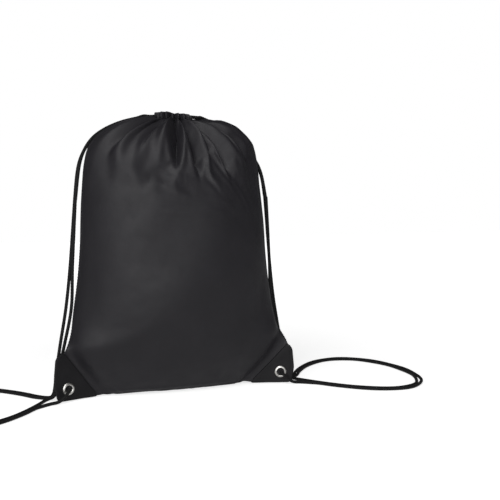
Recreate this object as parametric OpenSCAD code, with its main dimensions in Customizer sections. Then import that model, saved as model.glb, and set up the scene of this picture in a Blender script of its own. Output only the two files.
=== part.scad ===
// Drawstring backpack: a filled cinch sack of thin coated polyester standing on its
// bottom seam. Two cords close the gathered mouth, run down the sides as shoulder
// straps and are tied behind an eyelet in each reinforced bottom corner.
// X is the width, -Y the front, +Z up; the origin is on the floor under the middle.

/* [Bag] */
// Width of the bag across its bottom corners
bag_w = 346; // [300:1:380]
// Height of the filled bag from the floor to the rim of its mouth
bag_h = 376; // [330:1:420]
// Depth of the filled bag from front to back
bag_d = 150; // [120:1:160]
// Thickness of the coated cloth
cloth_t = 0.8; // [0.6:0.1:1]

/* [Mouth] */
// Outer diameter of the gathered hem
hem_d = 60; // [56:1:66]
// Height of the gathered hem
hem_h = 9; // [8.5:0.5:12]
// Clear hole in the middle of the gathered hem
mouth_d = 20; // [16:1:22]

/* [Corners] */
// Angle by which each bottom corner is bent forward
ear_bend = 17.5; // [10:0.5:22]
// Height of the reinforcing patch up the side seam
patch_h = 66; // [60:1:70]
// Outer diameter of the eyelet's flange
eyelet_d = 17; // [15:0.5:18]
// Clear hole through the eyelet
eyelet_hole_d = 9.4; // [8.6:0.2:10]

/* [Cords] */
// Diameter of the braided cord
cord_d = 4.6; // [4:0.2:5]
// Reach of each slack loop on the floor beyond its corner
slack_reach = 186; // [150:1:200]
// Half width of each slack loop
slack_spread = 110; // [80:1:115]

/* [Hidden] */

black_cloth = [0.13, 0.13, 0.14];
black_patch = [0.09, 0.09, 0.1];
black_cord = [0.06, 0.06, 0.065];
black_thread = [0.04, 0.04, 0.045];
nickel = [0.72, 0.72, 0.7];

layer_gap = 0.25;           // half the air between the two layers of cloth
cord_r = cord_d / 2;
half_w = bag_w / 2;
half_d = bag_d / 2;
big = 200;                  // longer than any hole that is cut

// Corner geometry, worked in shares of the bag's half width
bend_x = half_w * 0.555;    // where the corner starts to bend forward
ear_fade_z = patch_h * 1.8; // height by which the bend has gone
eyelet_x = half_w * 0.887;
eyelet_z = 17.5;
patch_t = 0.9;              // thickness of the patch's webbing cloth
patch_wrap = 2.2;           // how far the patch passes the edge of the bag

// Rows of the bag from the bottom seam to the mouth rim:
// height, half width of the cloth, half width of the filled part, half depth.
// Each is a share of the bag's height, half width, half width and half depth.
profile = [
    [0, 0.945, 0.53, 0], [0, 0.955, 0.54, 0.22], [0.021, 0.97, 0.58, 0.42],
    [0.053, 0.98, 0.635, 0.62], [0.101, 0.98, 0.725, 0.8], [0.149, 0.96, 0.81, 0.9],
    [0.176, 0.935, 0.86, 0.93], [0.202, 0.905, 0.905, 0.95], [0.252, 0.865, 0.865, 0.98],
    [0.33, 0.812, 0.812, 1], [0.44, 0.768, 0.768, 1], [0.56, 0.742, 0.742, 0.98],
    [0.68, 0.73, 0.73, 0.95], [0.785, 0.728, 0.728, 0.88], [0.863, 0.727, 0.727, 0.78],
    [0.912, 0.7, 0.7, 0.69], [0.946, 0.64, 0.64, 0.61], [0.973, 0.545, 0.545, 0.54],
    [0.991, 0.41, 0.41, 0.47], [1, 0.28, 0.28, 0.41], [0.994, 0.157, 0.157, 0.36]];
rows = len(profile);
columns = 25;

function ease(a, b, x) = let (q = min(1, max(0, (x - a) / (b - a)))) q * q * (3 - 2 * q);
function blend(a, b, share) = a + (b - a) * share;

// Forward lean of the cloth at a point: none on the body, a flat bend at the corners.
function lean(x, z) =
    -tan(ear_bend) * max(0, abs(x) - bend_x) * (1 - ease(patch_h + 2, ear_fade_z, z));

// Depth of the filled part, as a share of its middle depth. Low rows close with a
// shallow curve into the flat corner, high rows are rounder.
function fill(x, row) =
    let (q = min(1, abs(x) / (half_w * profile[row][2])),
         power = row < 7 ? 1.2 : blend(0.75, 0.5, ease(0.2, 0.95, profile[row][0])))
    pow(1 - q * q, power);

// Height of a row: flat on the floor in the middle, lifted to clear the patch's wrap
// at the corners.
function row_z(x, row) =
    let (corner = ease(bend_x, bend_x * 1.15, abs(x)), z = bag_h * profile[row][0])
    blend(z, max(z, patch_wrap * (row + 1)), corner);

function outer_point(side, row, col) =
    let (x = half_w * profile[row][1] * sin(90 * (2 * col / (columns - 1) - 1)),
         z = row_z(x, row),
         skin = row == 0 ? cloth_t * ease(bend_x * 0.98, bend_x * 1.03, abs(x)) : cloth_t)
    [x, lean(x, z) + side * (layer_gap + skin + half_d * profile[row][3] * fill(x, row)), z];

function clip(i, n) = min(n - 1, max(0, i));

function outward(side, row, col) =
    let (across = outer_point(side, row, clip(col + 1, columns))
                  - outer_point(side, row, clip(col - 1, columns)),
         up = outer_point(side, clip(row + 1, rows), col)
              - outer_point(side, clip(row - 1, rows), col),
         n = cross(across, up))
    -side * n / norm(n);

// A closed shell from two matching grids of points, outer grid first. The squares are
// split along mirrored diagonals left and right of the middle.
function grid_faces(m, n, flip) =
    let (k = m * n,
         skin = [for (i = [0:m - 2], j = [0:n - 2], layer = [0, 1])
                 let (a = layer * k + i * n + j, b = a + 1, c = a + n + 1, d = a + n,
                      pair = j < (n - 1) / 2 ? [[b, d, a], [b, c, d]] : [[a, b, c], [a, c, d]])
                 each layer == 0 ? pair : [for (f = pair) [f[0], f[2], f[1]]]],
         ends = [for (j = [0:n - 2], i = [0, m - 1])
                 let (a = i * n + j, b = a + 1, c = b + k, d = a + k)
                 each i == 0 ? [[a, d, c], [a, c, b]] : [[a, c, d], [a, b, c]]],
         sides = [for (i = [0:m - 2], j = [0, n - 1])
                  let (a = i * n + j, b = a + n, c = b + k, d = a + k)
                  each j == 0 ? [[a, c, d], [a, b, c]] : [[a, d, c], [a, c, b]]],
         all = concat(skin, ends, sides))
    flip ? [for (f = all) [f[2], f[1], f[0]]] : all;

module panel(side) {
    outer = [for (i = [0:rows - 1], j = [0:columns - 1]) outer_point(side, i, j)];
    inner = [for (i = [0:rows - 1], j = [0:columns - 1])
             outer_point(side, i, j) - cloth_t * outward(side, i, j)];
    color(black_cloth)
    difference() {
        polyhedron(concat(outer, inner), grid_faces(rows, columns, side > 0));
        for (hand = [-1, 1])
            on_hand(hand) at_eyelet() hole(eyelet_barrel_r + 0.1);
    }
}

module front_panel() panel(-1);
module back_panel() panel(1);

// ---------------------------------------------------------------- placing helpers

// The right-hand corner's work, mirrored for the left.
module on_hand(hand) mirror([hand < 0 ? 1 : 0, 0, 0]) children();

// Frame of the bent corner: X along the bend, -Y out of its front face.
module at_ear() translate([bend_x, 0, 0]) rotate([0, 0, -ear_bend]) children();

ear_stretch = 1 / cos(ear_bend);
function ear_u(x) = (x - bend_x) * ear_stretch;
eyelet_u = ear_u(eyelet_x);

// Frame of an eyelet: +Z out of the corner's front face.
module at_eyelet() at_ear() translate([eyelet_u, 0, eyelet_z]) rotate([90, 0, 0]) children();

module hole(r) translate([0, 0, -big / 2]) cylinder(h = big, r = r, $fn = 48);

// ---------------------------------------------------------------- corner patches

stack = 2 * (layer_gap + cloth_t) + 0.3;    // room inside the folded patch
patch_face = stack / 2 + patch_t;           // distance from the bend to the patch's face

// Outline of the patch in the corner's plane, grown by a margin past the cloth's edge.
function patch_outline(margin) = [
    [ear_u(half_w * 0.64), patch_wrap - margin],
    [ear_u(half_w * 0.965 + margin / 2), patch_wrap - margin],
    [ear_u(half_w * 0.987 + margin), patch_h * 0.34],
    [ear_u(half_w * 0.975 + margin), patch_h * 0.86],
    [ear_u(half_w * 0.945 + margin / 2), patch_h]];

module corner_plate(outline, back, front) {
    translate([0, back, 0]) rotate([90, 0, 0])
        linear_extrude(height = back - front) polygon(outline);
}

module corner_patch(hand) {
    pocket = concat(patch_outline(0.6), [[ear_u(half_w * 0.5), patch_h * 1.4],
                                         [ear_u(half_w * 0.5), patch_wrap - 0.6]]);
    color(black_patch)
    on_hand(hand) difference() {
        at_ear() difference() {
            corner_plate(patch_outline(patch_wrap), patch_face, -patch_face);
            corner_plate(pocket, stack / 2, -stack / 2);
        }
        at_eyelet() hole(eyelet_barrel_r + 0.1);
    }
}

module left_corner_patch() corner_patch(-1);
module right_corner_patch() corner_patch(1);

stitch_l = 2.6;             // length of one stitch on the surface
stitch_pitch = 4;
stitch_r = 0.3;

module stitch() rotate([0, 90, 0]) cylinder(h = stitch_l, r = stitch_r, center = true, $fn = 16);

// Stitches laid between two points of the corner's plane, on its front and back.
module stitch_line(from, to, face) {
    run = to - from;
    count = floor(norm(run) / stitch_pitch);
    for (i = [0:count - 1], side = [-1, 1]) {
        at = from + run * (i + 0.5) / count;
        translate([at[0], side * (face + stitch_r + 0.05), at[1]])
            rotate([0, -atan2(run[1], run[0]), 0]) stitch();
    }
}

module patch_stitching(hand) {
    inset = 3.2;
    line = patch_outline(-inset);
    slope = [line[0] + [inset * 1.4, 0], line[4] + [0, -inset * 1.2]];
    color(black_thread)
    on_hand(hand) at_ear() {
        stitch_line(slope[0], slope[1], patch_face);
        stitch_line(line[2], line[3], patch_face);
    }
}

module left_patch_stitching() patch_stitching(-1);
module right_patch_stitching() patch_stitching(1);

// ---------------------------------------------------------------- eyelets

eyelet_barrel_r = eyelet_hole_d / 2 + 0.6;
eyelet_flange_r = eyelet_d / 2;
eyelet_lip = 1.5;           // height of the rolled flange above the patch

// Eyelet: a rolled flange on the front with a barrel that passes through the layers.
module eyelet(hand) {
    base = patch_face + 0.05;
    wall = eyelet_hole_d / 2;
    color(nickel)
    on_hand(hand) at_eyelet() rotate_extrude($fn = 64) polygon([
        [wall, -base - 0.9], [eyelet_barrel_r, -base - 0.9], [eyelet_barrel_r, base],
        [eyelet_flange_r, base], [eyelet_flange_r - 0.7, base + eyelet_lip * 0.75],
        [eyelet_flange_r - 2, base + eyelet_lip], [wall + 0.9, base + eyelet_lip * 0.7],
        [wall, base]]);
}

// Washer the barrel is rolled against on the back.
module eyelet_washer(hand) {
    base = -patch_face - 0.05;
    bore = eyelet_barrel_r + 0.05;
    color(nickel)
    on_hand(hand) at_eyelet() rotate_extrude($fn = 64) polygon([
        [bore, base], [eyelet_flange_r, base], [eyelet_flange_r - 0.8, base - 0.8],
        [bore + 0.8, base - 1], [bore, base - 0.7]]);
}

module left_eyelet() eyelet(-1);
module right_eyelet() eyelet(1);
module left_eyelet_washer() eyelet_washer(-1);
module right_eyelet_washer() eyelet_washer(1);

// ---------------------------------------------------------------- seams of the bag

// Edge of the cloth, where the two panels are sewn together, at a row of the bag.
function edge_point(row) =
    let (x = half_w * profile[row][1], z = row_z(x, row)) [x, lean(x, z), z];

module stitch_between(a, b) {
    run = b - a;
    translate((a + b) / 2)
        rotate([0, acos(run[2] / norm(run)), atan2(run[1], run[0])])
            cylinder(h = min(stitch_l, norm(run)), r = stitch_r, center = true, $fn = 12);
}

// Overlocked seam: a row of loops standing just outside the two edges.
module side_seam(hand) {
    first = 7;
    last = 16;
    per_row = 3;
    color(black_thread)
    on_hand(hand) for (row = [first:last - 1], i = [0:per_row - 1]) {
        a = edge_point(row);
        b = edge_point(row + 1);
        off = [cloth_t + stitch_r + 0.2, 0, 0];
        stitch_between(a + (b - a) * (i + 0.2) / per_row + off,
                       a + (b - a) * (i + 0.8) / per_row + off);
    }
}

module left_side_seam() side_seam(-1);
module right_side_seam() side_seam(1);

// Bottom seam allowance: a narrow folded strip inside the bag along the bottom.
module bottom_seam() {
    strip_w = half_w * 1.04;
    strip_h = 9;
    color(black_cloth)
    translate([-strip_w / 2, -cloth_t / 2, cloth_t + 0.3]) cube([strip_w, cloth_t, strip_h]);
}

// ---------------------------------------------------------------- gathered hem

hem_z = bag_h + 1.2 + hem_h / 2;    // middle height of the hem
hem_r = hem_d / 2;
hem_cord_r = (hem_r + mouth_d / 2) / 2;
hem_gap = 0.6;                      // half the gap between the front and back hems
channel_r = cord_r + 0.35;          // half the channel's room for one cord

module half_turn(side) rotate([0, 0, side < 0 ? 180 : 0]) children();

// Half ring of pleated hem with the channel that the cords run in.
module hem(side) {
    corner = hem_h * 0.3;
    color(black_cloth)
    translate([0, side * hem_gap, hem_z]) half_turn(side) difference() {
        rotate_extrude(angle = 180, $fn = 72) polygon([
            [mouth_d / 2, -hem_h / 2 + corner], [mouth_d / 2 + corner, -hem_h / 2],
            [hem_r - corner, -hem_h / 2], [hem_r, -hem_h / 2 + corner],
            [hem_r, hem_h / 2 - corner], [hem_r - corner, hem_h / 2],
            [mouth_d / 2 + corner, hem_h / 2], [mouth_d / 2, hem_h / 2 - corner]]);
        rotate_extrude(angle = 180, $fn = 72) translate([hem_cord_r, 0])
            square([4 * channel_r, 2 * channel_r], center = true);
    }
}

module front_hem() hem(-1);
module back_hem() hem(1);

// Both cords inside one half of the hem, one round the other.
module hem_cords(side) {
    color(black_cord)
    translate([0, side * hem_gap, hem_z]) half_turn(side)
        for (lane = [-1, 1])
            rotate([0, 0, 1]) rotate_extrude(angle = 178, $fn = 72)
                translate([hem_cord_r + lane * (cord_r + 0.15), 0]) circle(r = cord_r, $fn = 24);
}

module front_hem_cords() hem_cords(-1);
module back_hem_cords() hem_cords(1);

// Stitches round the outside of one half of the hem.
module hem_stitching(side) {
    count = 16;
    color(black_thread)
    translate([0, side * hem_gap, hem_z]) half_turn(side)
        for (i = [1:count])
            rotate([0, 0, 180 * i / (count + 1)])
                translate([hem_r + stitch_r + 0.08, 0, -hem_h * 0.12])
                    rotate([0, 0, 90]) stitch();
}

module front_hem_stitching() hem_stitching(-1);
module back_hem_stitching() hem_stitching(1);

// ---------------------------------------------------------------- cords

cord_sides = 8;
swing_x = half_w + 5;               // the slack swings about this point beside the corner
swing_y = -8;

// Direction of a path at one of its points.
function path_dir(path, i) =
    let (d = path[clip(i + 1, len(path))] - path[clip(i - 1, len(path))]) d / norm(d);

// Cord swept along a path of points, with flat ends.
module swept_cord(path, up = [0, 1, 0]) {
    n = len(path);
    points = [for (i = [0:n - 1])
              let (d = path_dir(path, i), a = cross(d, up) / norm(cross(d, up)), b = cross(d, a))
              for (k = [0:cord_sides - 1])
              path[i] + cord_r * (a * cos(360 * k / cord_sides) + b * sin(360 * k / cord_sides))];
    skin = [for (i = [0:n - 2], k = [0:cord_sides - 1])
            let (a = i * cord_sides + k, b = i * cord_sides + (k + 1) % cord_sides)
            each [[a, b, b + cord_sides], [a, b + cord_sides, a + cord_sides]]];
    caps = [[for (k = [cord_sides - 1:-1:0]) k],
            [for (k = [0:cord_sides - 1]) (n - 1) * cord_sides + k]];
    color(black_cord) polyhedron(points, concat(skin, caps));
}

// Smooth curve through a list of points.
function spline(p, per) = concat(
    [for (i = [0:len(p) - 2], k = [0:per - 1])
     let (t = k / per, a = p[clip(i - 1, len(p))], b = p[i], c = p[i + 1],
          d = p[clip(i + 2, len(p))])
     0.5 * (2 * b + (c - a) * t + (2 * a - 5 * b + 4 * c - d) * t * t
            + (3 * b - a - 3 * c + d) * t * t * t)],
    [p[len(p) - 1]]);

pair_gap = cord_r + 0.2;            // half the spacing of two cords lying side by side
strap_lift = cord_r + 1.2;          // height of a strap's middle above the cloth

// Middle of a strap where it lies on the back panel, near its edge.
function strap_on_bag(row, col) = outer_point(1, row, col) + strap_lift * outward(1, row, col);

// Middle line of a strap: out of the hem, along the back of the top, over the shoulder
// and straight down past the side to the floor behind the corner.
strap_middle = concat(
    [[hem_r + 4.5, 1, hem_z]],
    [for (step = [[19, 21.6], [18, 21.4], [17, 21.4], [16, 21.6], [15, 22.1], [14, 22.8],
                  [13, 23.4]])
     strap_on_bag(step[0], step[1])],
    [for (step = [[0.795, 0.66], [0.825, 0.48], [0.866, 0.33], [0.918, 0.2], [0.953, 0.1],
                  [0.968, 0.045]])
     [half_w * step[0], 1, bag_h * step[1]]],
    [[half_w * 0.985, 1, cord_r + 0.6]]);

// One cord of a strap, beside the middle line.
function strap_path(lane) =
    spline([for (i = [0:len(strap_middle) - 1])
            let (d = path_dir(strap_middle, i), level = cross([0, 1, 0], d),
                 beside = cross(d, level / norm(level)))
            strap_middle[i] + lane * pair_gap * beside], 2);

module strap_cord(hand, lane) on_hand(hand) swept_cord(strap_path(lane));

module left_strap_front_cord() strap_cord(-1, -1);
module left_strap_back_cord() strap_cord(-1, 1);
module right_strap_front_cord() strap_cord(1, -1);
module right_strap_back_cord() strap_cord(1, 1);

// Points given in the corner's frame, moved into the bag's frame.
function from_ear(u, out, z) =
    [bend_x + u * cos(ear_bend) - out * sin(ear_bend), -u * sin(ear_bend) - out * cos(ear_bend), z];

// The cord end that passes through the eyelet from the knot and down its front.
module eyelet_cord(hand) {
    front = patch_face + eyelet_lip + cord_r + 0.8;
    path = spline([from_ear(eyelet_u, -patch_face - 5, eyelet_z),
                   from_ear(eyelet_u, -1, eyelet_z), from_ear(eyelet_u + 0.6, front - 1.5, eyelet_z - 0.3),
                   from_ear(eyelet_u + 4.5, front + 2.2, eyelet_z - 3.5),
                   from_ear(eyelet_u + 9, front + 2, eyelet_z - 10.5),
                   from_ear(eyelet_u + 17, front + 1.5, cord_r + 0.4),
                   from_ear(eyelet_u + 26, front, cord_r + 0.3)], 3);
    on_hand(hand) swept_cord(path, [0, 0.3, 1]);
}

module left_eyelet_cord() eyelet_cord(-1);
module right_eyelet_cord() eyelet_cord(1);

knot_turn_r = cord_r + 1.1;
knot_out = -patch_face - 5.6 - knot_turn_r - cord_r;    // how far the knot is behind the bend
knot_reach = knot_turn_r + cord_r;

// Knot behind the eyelet, as two turns of cord side by side.
module cord_knot(hand) {
    color(black_cord)
    on_hand(hand) at_eyelet() translate([0, 0, knot_out])
        for (lane = [-1, 1])
            translate([lane * pair_gap, 0, 0]) rotate([0, 90, 0]) rotate_extrude($fn = 32)
                translate([knot_turn_r, 0]) circle(r = cord_r, $fn = 24);
}

// The other cord end, from the knot down to the floor behind the corner.
module knot_tail(hand) {
    from = from_ear(eyelet_u + knot_reach + 0.4, knot_out, eyelet_z - 3);
    to = [half_w * 1.03, swing_y - 2, cord_r + 0.3];
    path = spline([from, blend(from, to, 0.35) + [0.6, 0, -0.5],
                   blend(from, to, 0.72) + [0, 0, -2], to], 3);
    on_hand(hand) swept_cord(path, [0, 1, 0]);
}

module left_cord_knot() cord_knot(-1);
module right_cord_knot() cord_knot(1);
module left_knot_tail() knot_tail(-1);
module right_knot_tail() knot_tail(1);

// ---------------------------------------------------------------- slack on the floor

start_near = 0.03;                  // shares of the loop's length
start_far = 0.125;
loop_start = 0.175;

slack_round = 0.35;                 // 0 for a pointed teardrop, 1 for an oval

// Path of the slack lying on the floor, a teardrop made rounder at its pointed end.
function slack_point(t, offset) =
    let (x = slack_reach * blend(sin(180 * t), (1 - cos(360 * t)) / 2, slack_round),
         y = slack_spread * sin(360 * t),
         dx = slack_reach * blend(cos(180 * t), sin(360 * t), slack_round),
         dy = 2 * slack_spread * cos(360 * t),
         n = norm([dx, dy]))
    [swing_x + x + offset * dy / n, swing_y + y - offset * dx / n, cord_r + 0.2];

function slack_path(from, to, offset, steps) =
    [for (i = [0:steps]) slack_point(blend(from, to, i / steps), offset)];

module slack_pair(hand, from, to, steps) {
    on_hand(hand) for (lane = [-1, 1])
        swept_cord(slack_path(from, to, lane * pair_gap, steps), [0, 0, 1]);
}

module slack_start(hand) {
    slack_pair(hand, start_near, start_far, 4);
    slack_pair(hand, 1 - start_far, 1 - start_near, 4);
}

module slack_loop(hand) slack_pair(hand, loop_start, 1 - loop_start, 30);

module left_slack_start() slack_start(-1);
module right_slack_start() slack_start(1);
module left_slack_loop() slack_loop(-1);
module right_slack_loop() slack_loop(1);

front_panel();
back_panel();
left_side_seam();
right_side_seam();
bottom_seam();
front_hem();
back_hem();
front_hem_stitching();
back_hem_stitching();
front_hem_cords();
back_hem_cords();
left_corner_patch();
right_corner_patch();
left_patch_stitching();
right_patch_stitching();
left_eyelet();
right_eyelet();
left_eyelet_washer();
right_eyelet_washer();
left_strap_front_cord();
left_strap_back_cord();
right_strap_front_cord();
right_strap_back_cord();
left_eyelet_cord();
right_eyelet_cord();
left_cord_knot();
right_cord_knot();
left_knot_tail();
right_knot_tail();
left_slack_start();
right_slack_start();
left_slack_loop();
right_slack_loop();
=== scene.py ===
"""Looks of the drawstring backpack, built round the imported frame.

The bag is one tube of cloth. Its flat pattern is wrapped round a soft filling, gathered
into a ring of pleats at the mouth, and settled by a cloth simulation. The hem, patches,
eyelets, stitches, knots and braided cords are mesh work laid on the settled cloth.
X is the width, -Y the front and +Z up. Lengths are in metres."""

import math

import bpy
import numpy as np
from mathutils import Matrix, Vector
from mathutils.bvhtree import BVHTree


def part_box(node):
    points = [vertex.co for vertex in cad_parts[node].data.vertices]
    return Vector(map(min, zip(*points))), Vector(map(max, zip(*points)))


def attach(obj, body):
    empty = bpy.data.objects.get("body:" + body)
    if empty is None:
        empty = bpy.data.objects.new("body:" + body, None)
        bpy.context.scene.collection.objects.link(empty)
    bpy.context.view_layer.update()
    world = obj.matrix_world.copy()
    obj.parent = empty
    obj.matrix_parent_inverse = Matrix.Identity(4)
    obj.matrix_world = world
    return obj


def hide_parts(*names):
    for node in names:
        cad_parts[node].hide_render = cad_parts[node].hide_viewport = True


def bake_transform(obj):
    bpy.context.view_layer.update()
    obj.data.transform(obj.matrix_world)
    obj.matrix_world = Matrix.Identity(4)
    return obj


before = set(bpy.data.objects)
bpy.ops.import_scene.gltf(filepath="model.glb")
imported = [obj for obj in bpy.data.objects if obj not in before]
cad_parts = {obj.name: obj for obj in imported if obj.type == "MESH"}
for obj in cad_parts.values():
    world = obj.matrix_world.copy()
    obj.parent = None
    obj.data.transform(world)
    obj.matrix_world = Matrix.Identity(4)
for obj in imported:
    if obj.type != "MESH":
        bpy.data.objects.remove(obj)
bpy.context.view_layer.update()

# ---- sizes from the frame

MM = 0.001
HANDS = {"left": -1, "right": 1}
FACES = {"front": -1, "back": 1}

panel_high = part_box("front_panel")[1]
back_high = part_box("back_panel")[1]
hem_low, hem_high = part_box("front_hem")
slack_low, slack_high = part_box("right_slack_loop")
patch_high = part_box("right_corner_patch")[1]
eyelet_low, eyelet_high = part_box("right_eyelet")

PANEL_SHARE = 0.98          # of half_w, that the panels reach; their seams go on past them
half_w = panel_high.x / PANEL_SHARE         # half the flat width of the cloth
half_d = back_high.y - MM                   # half the depth of the filled bag
rim_z = panel_high.z                        # height of the top of the filled bag
hem_r = hem_high.x                          # radius of the gathered hem
cord_r = (slack_high.z - slack_low.z) / 2
cord_gap = cord_r + 0.2 * MM                # half the spacing of two cords side by side
floor_z = cord_r + 0.3 * MM                 # height of a cord's middle on the floor

# The corners bend forward about an upright line; a corner point is given as its
# distance along the bend, its distance out of the front and its height.
EAR_BEND = math.radians(17.5)
BEND_SHARE = 0.555          # where the bend and the eyelet stand, as shares of half_w
EYELET_SHARE = 0.887
bend_x = BEND_SHARE * half_w
patch_h = patch_high.z
patch_face = 2.1 * MM                       # from the bend's plane to the patch's face
eyelet_u = (EYELET_SHARE * half_w - bend_x) / math.cos(EAR_BEND)
eyelet_z = (eyelet_low.z + eyelet_high.z) / 2
flange_r = (eyelet_high.z - eyelet_low.z) / 2
barrel_r = 4.7 * MM                         # of the eyelet's hole

# The slack of a strap lies on the floor out from this point.
swing_x = half_w + 5 * MM
swing_y = -8 * MM
slack_reach = slack_high.x - cord_r - swing_x - cord_gap
slack_spread = (slack_high.y - slack_low.y) / 2 - cord_r - cord_gap
SLACK_ROUND = 0.35          # 0 for a pointed teardrop, 1 for an oval


def ease(start, end, x):
    """0 before start, 1 after end, smooth between."""
    q = np.clip((np.asarray(x, float) - start) / (end - start), 0, 1)
    return q * q * (3 - 2 * q)


def corner_point(hand, u, out, z):
    x = bend_x + u * math.cos(EAR_BEND) - out * math.sin(EAR_BEND)
    return (hand * x, -u * math.sin(EAR_BEND) - out * math.cos(EAR_BEND), z)


def by_eyelet(hand, u, out, z):
    """A corner point given in mm: along the bend and up from the eyelet, and out."""
    return corner_point(hand, eyelet_u + u * MM, out * MM, eyelet_z + z * MM)


def ear_u(share):
    """Distance along the bend of a point at a share of the bag's half width."""
    return (share * half_w - bend_x) / math.cos(EAR_BEND)


PATCH_WRAP = 2.2 * MM       # how far the patch passes the edge of the cloth
PATCH_T = 0.9 * MM          # how far the turned edge of the patch bulges
PATCH_TOP = {-1: (0.915, 1.03), 1: (0.94, 0.9)}     # its top corner: shares of width, height


def patch_outline(hand, margin):
    """Corners of the patch in the plane of the bend, grown by a margin."""
    top_share, top_height = PATCH_TOP[hand]
    low = PATCH_WRAP + PATCH_T + 0.3 * MM - margin
    return np.array([
        (ear_u(0.64), low),
        (ear_u(0.965) + margin / 2, low),
        (ear_u(0.987) + margin, 0.34 * patch_h),
        (ear_u(0.972) + margin, (top_height - 0.12) * patch_h),
        (ear_u(top_share) + margin / 2, top_height * patch_h)])


def lean(x, z):
    """Forward lean of the cloth: none on the body, a flat bend at the corners."""
    fade = 1 - ease(patch_h + 2 * MM, 1.8 * patch_h, z)
    return -math.tan(EAR_BEND) * np.maximum(0, np.abs(x) - bend_x) * fade


# ---- mesh helpers


def link_object(name, data):
    thing = bpy.data.objects.new(name, data)
    bpy.context.scene.collection.objects.link(thing)
    return thing


class Mesh:
    """Points, faces and the texture coordinate of each face corner, in metres."""

    def __init__(self):
        self.points = []
        self.faces = []
        self.corners = []

    def grid(self, points, uv, around=False, flip=False):
        """Quads over rows of points; uv has one more column when the rows are closed."""
        rows, columns = len(points), len(points[0])
        first = len(self.points)
        self.points += [tuple(p) for row in points for p in row]
        for i in range(rows - 1):
            for j in range(columns if around else columns - 1):
                k = (j + 1) % columns
                ids = [(i, j, j), (i, k, j + 1), (i + 1, k, j + 1), (i + 1, j, j)]
                if flip:
                    ids.reverse()
                self.faces.append([first + row * columns + column for row, column, _ in ids])
                self.corners += [tuple(uv[row][across]) for row, _, across in ids]
        return first

    def cap(self, ids):
        """One flat face over the points with these numbers."""
        self.faces.append(list(ids))
        self.corners += [(0.0, 0.0)] * len(ids)

    def build(self, name, material):
        data = bpy.data.meshes.new(name)
        data.from_pydata(self.points, [], self.faces)
        layer = data.uv_layers.new(name="pattern")
        layer.data.foreach_set("uv", np.array(self.corners, np.float32).ravel())
        data.shade_smooth()
        data.materials.append(material)
        return link_object(name, data)


def subdivide(thing, levels=1):
    modifier = thing.modifiers.new("smooth", "SUBSURF")
    modifier.levels = levels
    modifier.render_levels = levels


def thicken(thing, thickness, offset):
    modifier = thing.modifiers.new("thickness", "SOLIDIFY")
    modifier.thickness = thickness
    modifier.offset = offset


def spline(points, per):
    """Catmull-Rom curve through points, as an array."""
    p = np.array(points, float)
    p = np.vstack([2 * p[0] - p[1], p, 2 * p[-1] - p[-2]])
    made = []
    for i in range(1, len(p) - 2):
        a, b, c, d = p[i - 1:i + 3]
        for k in range(per):
            t = k / per
            made.append(0.5 * (2 * b + (c - a) * t + (2 * a - 5 * b + 4 * c - d) * t * t
                               + (3 * b - a - 3 * c + d) * t ** 3))
    made.append(p[-2])
    return np.array(made)


def lengths_along(path):
    return np.r_[0, np.cumsum(np.linalg.norm(np.diff(path, axis=0), axis=1))]


def at_length(path, s, at):
    """The point or points of a path at a length, where s is the length at each point."""
    return np.stack([np.interp(at, s, path[:, axis]) for axis in range(3)], axis=-1)


def resample(path, step):
    """The same path with points at an even spacing close to step."""
    s = lengths_along(path)
    return at_length(path, s, np.linspace(0, s[-1], max(2, round(s[-1] / step) + 1)))


def directions(path):
    d = np.gradient(path, axis=0)
    return d / np.linalg.norm(d, axis=1)[:, None]


def transport(d):
    """A sideways direction for each direction of a path, turning as little as it can."""
    side = np.cross(d[0], (0, 0, 1) if abs(d[0][2]) < 0.9 else (0, 1, 0))
    sides = []
    for direction in d:
        side = side - direction * (side @ direction)
        side = side / np.linalg.norm(side)
        sides.append(side)
    return np.array(sides)


def tube_rings(path, radii, sides, relief=None):
    """Rings of points round a path, and the length at each ring.

    relief gives the share of the radius that is added at (around, along)."""
    d = directions(path)
    a = transport(d)
    b = np.cross(d, a)
    turn = 2 * math.pi * np.arange(sides) / sides
    along = lengths_along(path)
    r = np.broadcast_to(np.asarray(radii, float), (len(path),))[:, None] * np.ones(sides)
    if relief:
        r = r * (1 + relief(turn[None, :], along[:, None]))
    rings = path[:, None, :] + r[:, :, None] * (
        a[:, None, :] * np.cos(turn)[None, :, None] + b[:, None, :] * np.sin(turn)[None, :, None])
    return rings, along


def add_tube(mesh, rings, along, girth):
    """A closed tube from rings, its texture laid round the girth and along the length."""
    sides = rings.shape[1]
    uv = [[(girth * k / sides, s) for k in range(sides + 1)] for s in along]
    first = mesh.grid(rings, uv, around=True)
    last = first + (len(rings) - 1) * sides
    mesh.cap(range(first + sides - 1, first - 1, -1))
    mesh.cap(range(last, last + sides))


# ---- materials


def set_inputs(tree, node, inputs):
    """Links an input where the value is a socket, and sets it where it's a plain value."""
    for key, value in inputs.items():
        if isinstance(value, bpy.types.NodeSocket):
            tree.links.new(value, node.inputs[key])
        else:
            node.inputs[key].default_value = value


def add_node(tree, kind, inputs=None, **settings):
    made = tree.nodes.new(kind)
    for key, value in settings.items():
        setattr(made, key, value)
    set_inputs(tree, made, inputs or {})
    return made


def math_node(tree, operation, *values):
    return add_node(tree, "ShaderNodeMath", dict(enumerate(values)),
                    operation=operation).outputs[0]


def new_material(name):
    material = bpy.data.materials.new(name)
    material.use_nodes = True
    tree = material.node_tree
    return material, tree, tree.nodes["Principled BSDF"]


def place_of(tree, from_object=False):
    coordinates = add_node(tree, "ShaderNodeTexCoord")
    return coordinates.outputs["Object" if from_object else "UV"]


def noise(tree, place, scale, detail=3.0, roughness=0.55, stretch=None):
    if stretch:
        place = add_node(tree, "ShaderNodeMapping",
                         {"Vector": place, "Scale": stretch}).outputs[0]
    return add_node(tree, "ShaderNodeTexNoise", {
        "Vector": place, "Scale": scale, "Detail": detail, "Roughness": roughness}).outputs[0]


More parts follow.
